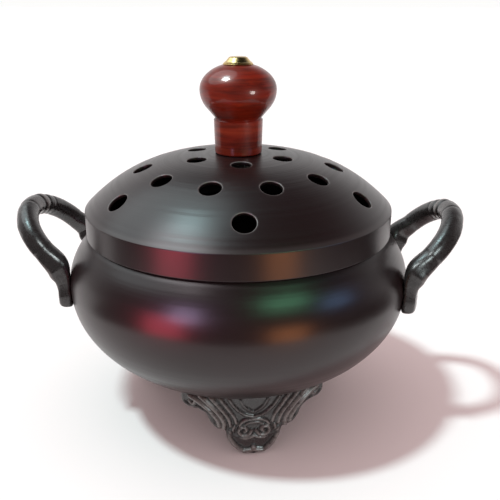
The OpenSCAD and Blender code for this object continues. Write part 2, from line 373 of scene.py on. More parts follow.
def wood_material():
    """Red-brown turned wood, banded along its axis, under clear lacquer."""
    m = Nodes("wood")
    bands = m.lines(m.height(), 160, 2)
    thin = m.lines(m.height(), 900, 3)
    grain = m.noise(60, 4, 0.65, stretch=(1, 1, 6), distortion=0.6)
    base = m.ramp(bands, [(0.30, (0.070, 0.004, 0.0015)), (0.50, (0.19, 0.011, 0.0025)),
                          (0.72, (0.30, 0.030, 0.006))])
    streak = m.mix(m.scale(grain, 0.0, 0.75, 0.38, 0.68), base, (0.030, 0.002, 0.001, 1))
    colour = m.mix(m.scale(thin, 0.0, 0.3, 0.45, 0.8), streak, (0.34, 0.045, 0.014, 1))
    m.set(Base_Color=colour, Roughness=m.scale(grain, 0.30, 0.45), Specular_IOR_Level=0.15,
          Coat_Weight=0.45, Coat_Roughness=0.07)
    m.set(Normal=m.bump(thin, 0.00004, 0.5, m.bump(grain, 0.0001, 0.2)))
    return m.material


def brass_material():
    """Polished brass with fine turning lines."""
    m = Nodes("brass")
    broad = m.noise(260, 3)
    fine = m.lines(m.radius(), 3500, 2)
    colour = m.ramp(broad, [(0.3, (0.62, 0.42, 0.16)), (0.7, (0.86, 0.66, 0.33))])
    m.set(Base_Color=colour, Metallic=1.0, Roughness=m.scale(fine, 0.18, 0.34, 0.3, 0.7))
    m.set(Normal=m.bump(fine, 0.00002, 0.4))
    return m.material


def steel_material():
    """Plain plated steel."""
    m = Nodes("steel")
    broad = m.noise(120, 3)
    fine = m.noise(1400, 2)
    colour = m.ramp(broad, [(0.3, (0.36, 0.36, 0.35)), (0.7, (0.52, 0.52, 0.51))])
    m.set(Base_Color=colour, Metallic=1.0, Roughness=m.scale(fine, 0.28, 0.42, 0.3, 0.7))
    m.set(Normal=m.bump(fine, 0.00004, 0.3))
    return m.material


LACQUER = lacquer_material()
CAST = cast_material()
WOOD = wood_material()
BRASS = brass_material()
STEEL = steel_material()


# ---------------------------------------------------------------- bowl

# Below the belly the outline is a superellipse, cut off where the base begins
BELLY_DROP = 45.8
UNDER_POWER = 2.17
SIDE_POWER = 1.68
BOWL_WALL = 1.6
SHOULDER_Z = CREASE_Z - 10
SHOULDER_R = LID_R - 1.2
SHOULDER_POWER = 2.05
NECK_R = LID_R - 2.1


def under_point(angle):
    """A point of the outline below the belly."""
    return np.array([BOWL_R * math.cos(angle) ** (2 / SIDE_POWER),
                     BELLY_Z - BELLY_DROP * math.sin(angle) ** (2 / UNDER_POWER)])


def upper_point(share):
    """A point of the outline from the belly (0) up to the shoulder (1)."""
    return np.array([BOWL_R - (BOWL_R - SHOULDER_R) * share ** SHOULDER_POWER,
                     BELLY_Z + (SHOULDER_Z - BELLY_Z) * share])


def under_z(r):
    """Height of the bowl's underside at a radius."""
    angle = math.acos(min(1.0, (r / BOWL_R) ** (SIDE_POWER / 2)))
    return under_point(angle)[1]


BASE_TURN = math.asin(((BELLY_Z - BASE_Z) / BELLY_DROP) ** (UNDER_POWER / 2))


def bowl_curve():
    """The bowl's outside from the edge of its base up to the shoulder."""
    low = [under_point(BASE_TURN * i / 40) for i in range(40, 0, -1)]
    high = [upper_point(i / 24) for i in range(25)]
    return low + high


def make_bowl():
    """The bowl with its neck, which the lid's band drops over."""
    outer = bowl_curve()
    path = np.array(outer)
    side = unit(np.gradient(path, axis=0))
    inner = path - BOWL_WALL * np.stack([side[:, 1], -side[:, 0]], 1)
    neck_in = NECK_R - BOWL_WALL
    profile = [(0, BASE_Z, 0)]
    profile += [(r, z, 0) for r, z in outer[:-1]]
    profile += [(SHOULDER_R, SHOULDER_Z, 0.5), (NECK_R, SHOULDER_Z + 0.3, 0.4)]
    profile += [(NECK_R, NECK_TOP_Z, 0.6), (neck_in, NECK_TOP_Z, 0.6)]
    profile += [(neck_in, SHOULDER_Z - BOWL_WALL, 1.0)]
    profile += [(r, z, 0) for r, z in inner[-2::-1]]
    profile += [(0, BASE_Z + BOWL_WALL, 0)]
    turned_piece("bowl_skin", rounded(profile), LACQUER, "bowl", ["bowl_shell"], 256)


# ---------------------------------------------------------------- lid

LID_WALL = 1.4
DOME_POWER = 3
SEAT_R = 55.4         # the pierced dome ends here, and the turned rim begins
RIM_SEGMENTS = 320
GRID = 1.3
HOLE_POINTS = 40
RIM_ROUND = 0.35
RIM_STEPS = 5
COLLARS = (0.0, 0.5, 1.3)
# Pale colour on the vents' rims and on the lid's crease and lower band edge: wear, and a painted
# highlight
VENT_EDGE_WEAR_AND_HIGHLIGHT = 0.10
VENT_WALL_WEAR_AND_HIGHLIGHT = (0.30, 0.65, 0.60, 0.30, 0.05, 0.0)
EDGE_WEAR_AND_HIGHLIGHT = 0.08
# Each ring of vents: how many, the ring's radius, the vents' diameter, the turn of the first
VENTS = [(6, 18.7, 7.5, 6.4), (11, 37.2, 8.0, 4.7 + 180 / 11), (6, 51.0, 8.2, 5.4)]


def dome_z(r):
    """Height of the dome's outer face at a radius."""
    return CREASE_Z + DOME_H * (1 - (r / LID_R) ** DOME_POWER)


def dome_normal(xy):
    """Outward normals of the dome at rows of (x, y)."""
    r = np.maximum(np.linalg.norm(xy, axis=1), 1e-9)
    slope = DOME_H * DOME_POWER / LID_R * (r / LID_R) ** (DOME_POWER - 1)
    n = np.stack([slope * xy[:, 0] / r, slope * xy[:, 1] / r, np.ones(len(r))], 1)
    return unit(n)


def vent_frames():
    """Each vent's centre, two tangents, normal and radius."""
    frames = []
    for count, ring_r, dia, phase in VENTS:
        for k in range(count):
            angle = math.radians(-90 + phase + 360 * k / count)
            out = np.array([math.cos(angle), math.sin(angle), 0])
            centre = out * ring_r + np.array([0, 0, dome_z(ring_r)])
            normal = dome_normal(centre[None, :2])[0]
            across = np.cross([0, 0, 1], out)
            frames.append((centre, np.cross(across, normal), across, normal, dia / 2))
    return frames


def vent_circle(vent, radius):
    """Points on the dome round a vent, at a distance from its axis."""
    centre, along, across, normal, _ = vent
    angles = np.arange(HOLE_POINTS) * TURN / HOLE_POINTS
    flat = centre + radius * (np.cos(angles)[:, None] * along + np.sin(angles)[:, None] * across)
    shift = np.zeros(HOLE_POINTS)
    for _ in range(6):
        p = flat + shift[:, None] * normal
        error = p[:, 2] - dome_z(np.linalg.norm(p[:, :2], axis=1))
        shift -= error * normal[2]
    return flat + shift[:, None] * normal


def dome_plan(vents):
    """Points and triangles of the pierced dome inside the seat, seen from above."""
    points = [np.array([[0.0, 0.0, dome_z(0)]])]
    rings = []
    for vent in vents:
        for extra in COLLARS:
            ring = vent_circle(vent, vent[4] + RIM_ROUND + extra)
            if extra == COLLARS[0]:
                rings.append(sum(len(p) for p in points))
            points.append(ring)
    centres = np.array([v[0] for v in vents])
    keep_off = np.array([v[4] for v in vents]) + RIM_ROUND + 2.0
    r = GRID
    while r < SEAT_R - 0.6 * GRID:
        count = max(6, round(TURN * r / GRID))
        angle = (np.arange(count) + 0.5 * (round(r / GRID) % 2)) * TURN / count
        ring = np.stack([r * np.cos(angle), r * np.sin(angle), np.full(count, dome_z(r))], 1)
        gap = np.linalg.norm(ring[:, None] - centres, axis=2) - keep_off
        points.append(ring[(gap > 0).all(axis=1)])
        r += GRID
    rim_first = sum(len(p) for p in points)
    angle = np.arange(RIM_SEGMENTS) * TURN / RIM_SEGMENTS
    points.append(np.stack([SEAT_R * np.cos(angle), SEAT_R * np.sin(angle),
                            np.full(RIM_SEGMENTS, dome_z(SEAT_R))], 1))
    verts = np.vstack(points)
    edges = [(rim_first + k, rim_first + (k + 1) % RIM_SEGMENTS) for k in range(RIM_SEGMENTS)]
    for first in rings:
        edges += [(first + k, first + (k + 1) % HOLE_POINTS) for k in range(HOLE_POINTS)]
    found = delaunay_2d_cdt([Vector(v[:2]) for v in verts], edges, [], 0, 1e-5)
    origin = [o[0] if o else -1 for o in found[3]]
    owner = np.full(len(verts), -1)
    for index, first in enumerate(rings):
        owner[first:first + HOLE_POINTS] = index
    triangles = []
    for face in found[2]:
        face = [origin[i] for i in face]
        own = owner[face]
        if -1 in face or (own[0] >= 0 and (own == own[0]).all()):
            continue
        a, b, c = (verts[i][:2] for i in face)
        if (b[0] - a[0]) * (c[1] - a[1]) - (b[1] - a[1]) * (c[0] - a[0]) < 0:
            face = face[::-1]
        triangles.append(face)
    return verts, triangles, rings, rim_first


def make_lid():
    """The lid as one skin: pierced dome, rounded vents, crease, band and seat."""
    vents = vent_frames()
    top, triangles, rings, rim_first = dome_plan(vents)
    count = len(top)
    top_n = dome_normal(top[:, :2])
    under = top - LID_WALL * top_n
    verts = [top, under]
    normals = [top_n, -top_n]
    # The vents' top rims are painted pale, as wear and a painted highlight
    rim_wear_and_highlight = np.zeros(count)
    for first in rings:
        rim_wear_and_highlight[first:first + HOLE_POINTS] = VENT_EDGE_WEAR_AND_HIGHLIGHT
    wear_and_painted_light = [rim_wear_and_highlight, np.zeros(count)]
    faces = [list(t) for t in triangles] + [[count + i for i in t[::-1]] for t in triangles]
    total = 2 * count

    def strip(low, high, segments):
        for k in range(segments):
            n = (k + 1) % segments
            faces.append([low[k], high[k], high[n], low[n]])

    # The wall of each vent, with its edge rounded at both faces
    for vent, first in zip(vents, rings):
        normal = vent[3]
        upper = list(range(first, first + HOLE_POINTS))
        lower = [count + i for i in upper]
        start, end = top[first:first + HOLE_POINTS], under[first:first + HOLE_POINTS]
        inward = unit((vent[0] - start) - ((vent[0] - start) @ normal)[:, None] * normal)
        rows, row_normals = [], []
        turns = [step / RIM_STEPS * math.pi / 2 for step in range(1, RIM_STEPS + 1)]
        for face, up, angles in ((start, 1, turns), (end, -1, turns[::-1])):
            for angle in angles:
                across, down = RIM_ROUND * math.sin(angle), RIM_ROUND * (1 - math.cos(angle))
                rows.append(face + inward * across - normal * up * down)
                row_normals.append(inward * math.sin(angle) + normal * up * math.cos(angle))
        before = upper
        for i, (row, row_n) in enumerate(zip(rows, row_normals)):
            index = list(range(total, total + HOLE_POINTS))
            verts.append(row)
            normals.append(unit(row_n))
            wear_and_painted_light.append(np.full(HOLE_POINTS, VENT_WALL_WEAR_AND_HIGHLIGHT[min(i, len(VENT_WALL_WEAR_AND_HIGHLIGHT) - 1)]))
            strip(index, before, HOLE_POINTS)
            before = index
            total += HOLE_POINTS
        strip(lower, before, HOLE_POINTS)

    # From the seat ring out over the crease, down the band and back under to the seat
    rim = list(range(rim_first, rim_first + RIM_SEGMENTS))
    inner = LID_R - LID_WALL
    seat_in = under[rim_first][0]
    path = [(SEAT_R, dome_z(SEAT_R), 0)]
    path += [(r, dome_z(r), 0) for r in np.linspace(SEAT_R + 0.9, LID_R - 0.75, 4)]
    path += [(LID_R - 0.02, dome_z(LID_R), 0.55), (LID_R, BAND_LOW_Z, 0.45)]
    path += [(inner, BAND_LOW_Z, 0.45), (inner, NECK_TOP_Z, 0.2), (seat_in, NECK_TOP_Z, 0.3)]
    path += [(seat_in, under[rim_first][2], 0)]
    path = np.array(rounded(path, 5))
    step = np.diff(path, axis=0)
    side = np.stack([-step[:, 1], step[:, 0]], 1)
    side = unit(np.vstack([side[:1], side[:-1] + side[1:], side[-1:]]))
    angle = np.arange(RIM_SEGMENTS) * TURN / RIM_SEGMENTS
    before = rim
    for (r, z), (nr, nz) in zip(path[1:-1], side[1:-1]):
        index = list(range(total, total + RIM_SEGMENTS))
        ring = np.stack([r * np.cos(angle), r * np.sin(angle), np.full(RIM_SEGMENTS, z)], 1)
        verts.append(ring)
        normals.append(np.stack([nr * np.cos(angle), nr * np.sin(angle),
                                 np.full(RIM_SEGMENTS, nz)], 1))
        # Rows at the crease and the band's lower edge are painted pale, as wear and a painted
        # highlight
        turning = abs(nr * nz) > 0.3 and r > LID_R - 1
        wear_and_painted_light.append(np.full(RIM_SEGMENTS, EDGE_WEAR_AND_HIGHLIGHT if turning else 0.0))
        strip(before, index, RIM_SEGMENTS)
        before = index
        total += RIM_SEGMENTS
    strip(before, [count + i for i in rim], RIM_SEGMENTS)
    make_piece("lid_skin", np.vstack(verts), faces, LACQUER, "lid", ["lid_shell"],
               np.vstack(normals), np.concatenate(wear_and_painted_light))


# ---------------------------------------------------------------- knob and its cap

STEM_H = 13.2
STEM_R = 9.4
GROOVE_R = 8.8
CAP_SEAT_H = 9.1      # the flat that takes the cap, above the ball's widest ring
BALL_FOOT_H = 7.3     # the ball's lower end, below its widest ring
BALL_LOW_AXIS = 11.9
BALL_HIGH_AXIS = 9.8


def make_knob():
    """The stem, the groove over it and the ball, which is two half ellipses."""
    foot, top = knob_low[2], knob_high[2]
    ball_z = top - CAP_SEAT_H
    stem_top = foot + STEM_H
    low = math.asin(BALL_FOOT_H / BALL_LOW_AXIS)
    high = math.asin(CAP_SEAT_H / BALL_HIGH_AXIS)
    profile = [(0, foot, 0), (STEM_R - 0.7, foot, 0), (STEM_R - 0.35, foot + 0.4, 0.3),
               (STEM_R, stem_top - 0.35, 0.3), (STEM_R - 0.25, stem_top, 0.2),
               (GROOVE_R, stem_top + 0.2, 0.3), (STEM_R - 0.25, stem_top + 0.7, 0.3)]
    low_steps, high_steps = 16, 24
    for i in range(low_steps + 1):
        t = low * (1 - i / low_steps)
        corner = 0.4 if i == 0 else 0
        profile.append((BALL_R * math.cos(t), ball_z - BALL_LOW_AXIS * math.sin(t), corner))
    for i in range(1, high_steps + 1):
        t = high * i / high_steps
        profile.append((BALL_R * math.cos(t), ball_z + BALL_HIGH_AXIS * math.sin(t), 0))
    profile += [(0, top, 0)]
    turned_piece("knob_turning", rounded(profile), WOOD, "lid", ["knob"], 128)


def make_cap():
    """The brass cap nut and the thin washer under it."""
    low, high = cap_low[2], cap_high[2]
    r = cap_high[0]
    profile = [(0, low, 0), (r, low, 0.1), (r, low + 0.4, 0.2), (r - 0.5, low + 0.6, 0.3)]
    profile += [(3.5, high - 0.3, 0.6), (2.8, high, 0.8), (0, high, 0)]
    turned_piece("cap_nut_dome", rounded(profile, 5), BRASS, "lid", ["knob_cap_nut"], 96)
    low, high = cap_washer_low[2], cap_washer_high[2]
    r = cap_washer_high[0]
    bore, bevel = 2.8, 0.12
    profile = [(bore, low, 0), (r - 0.1, low, 0), (r, low + bevel, 0), (r, high - bevel, 0),
               (r - bevel, high, 0), (bore, high, 0)]
    turned_piece("cap_washer_ring", rounded(profile), BRASS, "lid",
                 ["knob_cap_washer"], 96)


# ---------------------------------------------------------------- charcoal pan

PAN_WALL = 1.2
PAN_FLAT_R = 25
PAN_FOOT_H = 4
PAN_FOOT_R = 23.8
PAN_RIM_H = 2.4


def make_pan():
    """A dish on a foot ring, with an upright rolled rim."""
    floor = pan_low[2]
    dish = floor + PAN_FOOT_H
    rim_z = pan_high[2] - PAN_RIM_H
    edge = PAN_R - PAN_WALL
    foot_in = PAN_FOOT_R - PAN_WALL
    profile = [(0, dish, 0), (foot_in, dish, 0.6), (foot_in, floor, 0.4),
               (PAN_FOOT_R, floor, 0.4), (PAN_FOOT_R, dish, 0.4)]
    outer = []
    steps = 24
    for i in range(1, steps + 1):
        angle = math.pi / 2 * i / steps
        outer.append((PAN_FLAT_R + (edge - PAN_FLAT_R) * math.sin(angle),
                      dish + (rim_z - dish) * (1 - math.cos(angle))))
    profile += [(r, z, 0) for r, z in outer[:-1]]
    profile += [(edge, rim_z, 0.3), (PAN_R, rim_z, 0.9), (PAN_R, rim_z + PAN_RIM_H, 1.1)]
    profile += [(edge - PAN_WALL, rim_z + PAN_RIM_H, 0.8), (edge - PAN_WALL, rim_z, 0.5)]
    for r, z in outer[-2::-1]:
        share = (z - dish) / (rim_z - dish)
        profile.append((r - PAN_WALL * share, z + PAN_WALL * (1 - share), 0))
    profile += [(0, dish + PAN_WALL, 0)]
    turned_piece("pan_dish", rounded(profile), STEEL, "pan", ["charcoal_pan"], 160)


# ---------------------------------------------------------------- handles

# A handle is a tilted half ellipse of rod, whose ends run down into two pads on the belly
ROD_R = 3.95
ROD_POWER = 2.15
LOOP_HALF_W = 20.9
LOOP_DEPTH = 18.0
LOOP_TILT = math.radians(46.5)
LOOP_END, LOOP_STEP = 84, 6
GRIP = np.array([83.9, 0.0, 82.7])
PAD_TURN = math.radians(18.0)
# Base level of the handles' wear and painted light
HANDLE_WEAR_AND_LIGHT = 0.25
HANDLE_ROUGH = 0.05
# The grooves of the rolled bands at the top of the loop: place along it, and depth
GROOVES = (0.085, 0.30), (0.175, 0.34), (0.25, 0.20), (-0.07, 0.16)


def handle_sections():
    """Rows along the right-hand handle: centre, outward axis, side axis, half sizes, power."""
    rise = np.array([math.cos(LOOP_TILT), 0, math.sin(LOOP_TILT)])
    under = np.array([rise[2], 0, -rise[0]])
    centre = GRIP - rise * LOOP_DEPTH
    radial = np.array([math.cos(PAD_TURN), -math.sin(PAD_TURN), 0])
    tangent = np.array([-math.sin(PAD_TURN), -math.cos(PAD_TURN), 0])

    def pad(z_in, r_in, z_out, r_out, half_w, power):
        """A section of the pad, from its face on the bowl out to its outer face."""
        a = radial * r_in + np.array([0, 0, z_in])
        b = radial * r_out + np.array([0, 0, z_out])
        return np.hstack([(a + b) / 2, unit(b - a), tangent, np.linalg.norm(b - a) / 2,
                          half_w, power])

    rows = [pad(49.3, 67.6, 49.6, 70.6, 2.6, 2.4), pad(50.4, 67.2, 50.6, 72.3, 4.0, 3.0),
            pad(54.0, 67.4, 54.0, 72.5, 4.3, 4.5), pad(57.5, 67.6, 57.2, 72.5, 4.0, 4.5),
            pad(61.5, 67.4, 60.0, 73.0, 4.0, 4.2), pad(65.6, 67.4, 62.4, 74.8, 4.1, 3.6),
            pad(69.5, 68.7, 64.6, 76.0, 4.0, 2.8)]
    for angle in np.radians(np.arange(-LOOP_END, 1, LOOP_STEP)):
        deep, wide = rise * math.cos(angle), np.array([0, math.sin(angle), 0])
        place = deep * LOOP_DEPTH + wide * LOOP_HALF_W
        out = unit(deep / LOOP_DEPTH + wide / LOOP_HALF_W)
        rows.append(np.hstack([centre + place, under, out, ROD_R, ROD_R, ROD_POWER]))
    front = np.array(rows)
    back = front[:-1][::-1].copy()
    back[:, [1, 4, 7]] *= -1
    return np.vstack([front, back])


def handle_relief(share, angle):
    """How far the skin stands from the plain rod, along the loop (-1..1) and round it."""
    swell = 0.15 * bell(share, 0, 0.16)
    grooves = sum(-depth * bell(share, place, 0.012) for place, depth in GROOVES)
    roll = 0.20 * bell(share, 0.13, 0.03)
    from_top = np.abs(share)
    leg = np.clip((from_top - 0.18) / 0.1, 0, 1) * np.clip((0.86 - from_top) / 0.06, 0, 1)
    crest = 0.30 * bell(np.abs(angle), 0.75, 0.22) * leg
    flank = -0.16 * bell(np.abs(angle), 1.45, 0.35) * leg
    return swell + grooves + roll + crest + flank


def make_handle(name, side, node):
    """A handle skinned over its sections; side is 1 for the right one and -1 for the left."""
    rows = smooth_path(handle_sections(), 8)
    around = 40
    count = len(rows)
    steps = np.linalg.norm(np.diff(rows[:, :3], axis=0), axis=1)
    share = np.concatenate([[0], np.cumsum(steps)])
    share = 2 * share / share[-1] - 1
    turn = np.arange(around) * TURN / around
    verts, wear_and_painted_light = [], []
    for row, place in zip(rows, share):
        centre, out, across = row[:3], unit(row[3:6]), unit(row[6:9])
        a, b, power = row[9:12]
        c, s = np.cos(turn), np.sin(turn)
        x = np.sign(c) * np.abs(c) ** (2 / power)
        y = np.sign(s) * np.abs(s) ** (2 / power)
        angle = np.arctan2(y * b, x * a)
        lift = handle_relief(place, angle)
        ring = x[:, None] * a * out + y[:, None] * b * across
        verts.append(centre + ring + unit(ring) * lift[:, None])
        # Raised skin paints paler, as wear and painted highlight; grooves and sunk flanks paint
        # near black, as painted shade
        wear_and_painted_light.append(HANDLE_WEAR_AND_LIGHT + 2.2 * lift)
    verts = np.vstack(verts)
    verts += HANDLE_ROUGH * unit(verts) * wobble(verts, 2.2, 1.0)[:, None]
    verts[:, 0] *= side
    faces = []
    for i in range(count - 1):
        for k in range(around):
            n = (k + 1) % around
            face = [i * around + k, i * around + n, (i + 1) * around + n, (i + 1) * around + k]
            faces.append(face if side > 0 else face[::-1])
    for first, flip in ((0, side > 0), ((count - 1) * around, side < 0)):
        cap = [first + k for k in range(around)]
        faces.append(cap[::-1] if flip else cap)
    make_piece(name, verts, faces, CAST, "bowl", [node], wear_and_painted_light=np.concatenate(wear_and_painted_light))


# ---------------------------------------------------------------- feet

# A foot is a curved plate round the bowl's axis, carved on its outer face
FOOT_R = 46.8
FOOT_WALL = 6.0
FOOT_SKIN = 1.0       # the plain face lies this far inside FOOT_R
FEET_TURN = 9.9
FEET = 3
WING = 0.09           # how much wider the right side is, above WING_LOW
WING_LOW, WING_RISE = 6, 6
FOOT_ACROSS = 170
FOOT_ROUGH = 0.04
EDGE_ROUND = 1.2
CARVE_RISE, CARVE_WIDTH = 1.4, 1.15
RELIEF_LOW, RELIEF_HIGH = -1.2, 1.6
HEM_Z = 10.5          # the lip runs below this height and the rail above it
# The foot's right-hand outline, across and up, and the tongue of plate inside the bowl
FOOT_EDGE = [(3.6, 0.0), (5.7, 0.9), (8.4, 3.2), (10.3, 6.5), (11.2, 10.0), (14.2, 10.5),
             (16.9, 13.2), (18.7, 16.5), (21.9, 18.0), (25.6, 18.1), (28.6, 19.9), (29.2, 24.0)]
FOOT_TOPS = (25.0, 26.0, 27.0, 28.0)
CRESCENT = [(0.0, 5.2), (3.4, 5.5), (6.4, 7.2), (7.6, 8.9)]
BEAD_Z, BEAD_R = 2.9, 1.25
# Carved lines of the right half, across and up, with their half width and height
CARVING = [
    ([(24.5, 23.6), (20.6, 21.6), (16.6, 18.6), (14.0, 15.4), (13.0, 12.6)], 0.80, 1.25),
    ([(20.5, 24.5), (16.0, 20.6), (12.6, 16.8), (11.2, 13.6), (11.4, 11.6)], 0.75, 1.25),
    ([(16.6, 24.5), (12.6, 20.0), (9.8, 16.2), (8.8, 12.6)], 0.62, 0.95),
    ([(13.0, 24.5), (9.8, 20.0), (7.4, 16.4), (6.6, 13.8)], 0.55, 0.85),
    ([(9.4, 24.0), (6.8, 20.2), (3.4, 17.4), (0.0, 16.4)], 0.45, 0.65),
    ([(5.0, 23.4), (3.4, 20.6), (0.4, 18.4)], 0.45, 0.45),
    ([(0.0, 15.4), (2.4, 15.2), (4.4, 14.2), (5.4, 12.8)], 0.48, 0.80),
    ([(0.0, 14.0), (1.8, 13.8), (3.0, 13.1)], 0.42, 0.70),
    ([(0.9, 10.4), (2.0, 8.9), (4.2, 8.6), (5.6, 9.9), (5.2, 11.7), (3.6, 12.1), (2.7, 11.0),
      (3.5, 10.2)], 0.52, 1.15),
    ([(7.2, 12.4), (7.8, 10.9), (7.4, 9.4)], 0.45, 0.8),
    ([(0.0, 8.2), (1.6, 7.5), (4.2, 7.0), (7.2, 7.9), (9.0, 10.2)], 0.55, 0.95),
    ([(25.0, 21.6), (24.0, 20.4), (22.8, 20.6), (22.8, 21.6)], 0.50, 0.8),
]


def curve_distance(points, line):
    """Distance from rows of points to a smooth line."""
    path = smooth_path(line, 8)
    a, d = path[:-1], np.diff(path, axis=0)
    rel = points[:, None] - a
    t = np.clip((rel * d).sum(2) / np.maximum((d * d).sum(1), 1e-9), 0, 1)
    return np.linalg.norm(rel - t[..., None] * d, axis=2).min(1)


def foot_relief(u, v):
    """Height of the carving over the foot's plain face, and distance from its outline."""
    p = np.stack([np.abs(u), v], 1)
    height = np.zeros(len(p))
    for line, width, rise in CARVING:
        d = curve_distance(p, line)
        height = np.maximum(height, CARVE_RISE * rise * bell(d, 0, CARVE_WIDTH * width))
    edge = curve_distance(p, [(-1.0, 0.6)] + FOOT_EDGE)
    lip = bell(edge, 1.5, 1.0) * np.clip((HEM_Z - v) / 2.5, 0, 1)
    height = np.maximum(height, 1.35 * lip)
    rail = bell(edge, 1.1, 0.8) * np.clip(v - HEM_Z, 0, 1)
    height = np.maximum(height, 0.55 * rail)
    height -= 1.2 * bell(curve_distance(p, CRESCENT), 0, 0.95)
    bead = np.linalg.norm(p - np.array([0.0, BEAD_Z]), axis=1)
    ball = np.sqrt(np.clip(1 - (bead / BEAD_R) ** 2, 0, 1))
    return np.maximum(height, RELIEF_HIGH * ball), edge


def make_foot(name, index, node):
    """A foot as rows across its outline, on its carved face and on its plain back."""
    tongue = [[FOOT_EDGE[-1][0], z] for z in FOOT_TOPS]
    outline = np.vstack([smooth_path(FOOT_EDGE, 10), tongue])
    across = FOOT_ACROSS
    share = np.linspace(-1, 1, across)
    front_face, back_face, wear_and_painted_light = [], [], []
    for half, z in outline:
        u = share * half
        v = np.full(across, z)
        relief, edge = foot_relief(u, v)
        side_gap = np.minimum(edge, EDGE_ROUND)
        round_off = 0.8 * (1 - np.sqrt(np.clip(1 - (1 - side_gap / EDGE_ROUND) ** 2, 0, 1)))
        carved = np.clip(relief, RELIEF_LOW, RELIEF_HIGH) * np.clip(side_gap / 0.8, 0, 1)
        face_r = FOOT_R - FOOT_SKIN + carved - round_off
        # Raised carving paints paler, as wear and painted highlight; the sunk crescent paints
        # near black, as painted shade
        wear_and_painted_light.append(0.15 + 0.8 * relief)
        wing = 1 + WING * np.clip((z - WING_LOW) / WING_RISE, 0, 1)
        angle = u / FOOT_R * np.where(share > 0, wing, 1)
        front_face.append(np.stack([face_r, angle, v], 1))
        back_face.append(np.stack([np.full(across, FOOT_R - FOOT_WALL), angle, v], 1))
    rows = len(outline)
    wear_and_painted_light = np.concatenate(wear_and_painted_light)
    r, angle, z = np.vstack(front_face + back_face).T
    top = np.array([under_z(min(v, BOWL_R - 0.1)) for v in r]) + 0.25
    z = np.minimum(z, top)
    base = math.radians(-90 + FEET_TURN + index * 360 / FEET)
    verts = np.stack([r * np.cos(base + angle), r * np.sin(base + angle), z], 1)
    verts += FOOT_ROUGH * unit(verts) * wobble(verts, 1.7, 2.0)[:, None] * (z[:, None] > 0.5)
    faces = []
    back = rows * across
    for i in range(rows - 1):
        for k in range(across - 1):
            a, b = i * across + k, i * across + k + 1
            c, d = b + across, a + across
            faces.append([a, b, c, d])
            faces.append([back + d, back + c, back + b, back + a])
        for k in (0, across - 1):
            a, d = i * across + k, (i + 1) * across + k
            quad = [a, d, back + d, back + a]
            faces.append(quad if k == 0 else quad[::-1])
    for i, flip in ((0, False), (rows - 1, True)):
        for k in range(across - 1):
            a, b = i * across + k, i * across + k + 1
            quad = [a, back + a, back + b, b]
            faces.append(quad[::-1] if flip else quad)
    make_piece(name, verts, faces, CAST, "bowl", [node],
               wear_and_painted_light=np.concatenate([wear_and_painted_light, np.full(len(wear_and_painted_light), 0.2)]))


# ---------------------------------------------------------------- pieces

make_bowl()
make_lid()
make_knob()
make_cap()
make_pan()
make_handle("handle_casting_right", 1, "handle_right")
make_handle("handle_casting_left", -1, "handle_left")
for foot_index, foot_node in enumerate(["foot_front", "foot_back_right", "foot_back_left"]):
    make_foot(foot_node + "_casting", foot_index, foot_node)

# The fastenings come from CAD as they are
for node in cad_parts.values():
    if not node.hide_render:
        node.data.materials.clear()
        node.data.materials.append(STEEL)


# ---------------------------------------------------------------- camera, floor and light

FRAME_PX = 500
LENS_PX = 664.5
CAMERA_SHIFT = 4.55
LOOK_AT_Z = CREASE_Z - 20.56
CAMERA_TURN = math.radians(2.4)
CAMERA_ELEVATION = math.radians(20.28)
CAMERA_DISTANCE = 272.7
CAMERA_ROLL = math.radians(0.1)


def make_camera():
    """The camera at the photo's viewing angle."""
    data = bpy.data.cameras.new("camera")
    data.sensor_width = 36
    data.lens = LENS_PX / FRAME_PX * data.sensor_width
    data.clip_start = 0.01
    camera = bpy.data.objects.new("camera", data)
    bpy.context.scene.collection.objects.link(camera)
    back = Vector((0, -math.cos(CAMERA_ELEVATION), math.sin(CAMERA_ELEVATION)))
    level = Vector((1, 0, 0))
    rise = Vector((0, math.sin(CAMERA_ELEVATION), math.cos(CAMERA_ELEVATION)))
    right = level * math.cos(CAMERA_ROLL) + rise * math.sin(CAMERA_ROLL)
    up = rise * math.cos(CAMERA_ROLL) - level * math.sin(CAMERA_ROLL)
    stand = Matrix((right, up, back)).transposed().to_4x4()
    stand.translation = (Vector((CAMERA_SHIFT, 0, LOOK_AT_Z)) + back * CAMERA_DISTANCE) * MM
    camera.matrix_world = Matrix.Rotation(CAMERA_TURN, 4, "Z") @ stand
    bpy.context.scene.camera = camera


make_camera()


def flat_thing(name, verts, faces, low, high, roughness, noise_scale):
    """A flat mesh in metres, with a plain, slightly uneven paint."""
    mesh = bpy.data.meshes.new(name)
    mesh.from_pydata(verts, [], faces)
    m = Nodes(name)
    m.set(Base_Color=m.ramp(m.noise(noise_scale, 2), [(0.3, low), (0.7, high)]),
          Roughness=roughness)
    mesh.materials.append(m.material)
    thing = bpy.data.objects.new(name, mesh)
    bpy.context.scene.collection.objects.link(thing)
    return thing


FLOOR_HALF = 40.0
floor = flat_thing("floor", [(-FLOOR_HALF, -FLOOR_HALF, 0), (FLOOR_HALF, -FLOOR_HALF, 0),
                             (FLOOR_HALF, FLOOR_HALF, 0), (-FLOOR_HALF, FLOOR_HALF, 0)],
                   [(0, 1, 2, 3)], (0.90, 0.885, 0.88), (0.92, 0.91, 0.905), 0.7, 6)

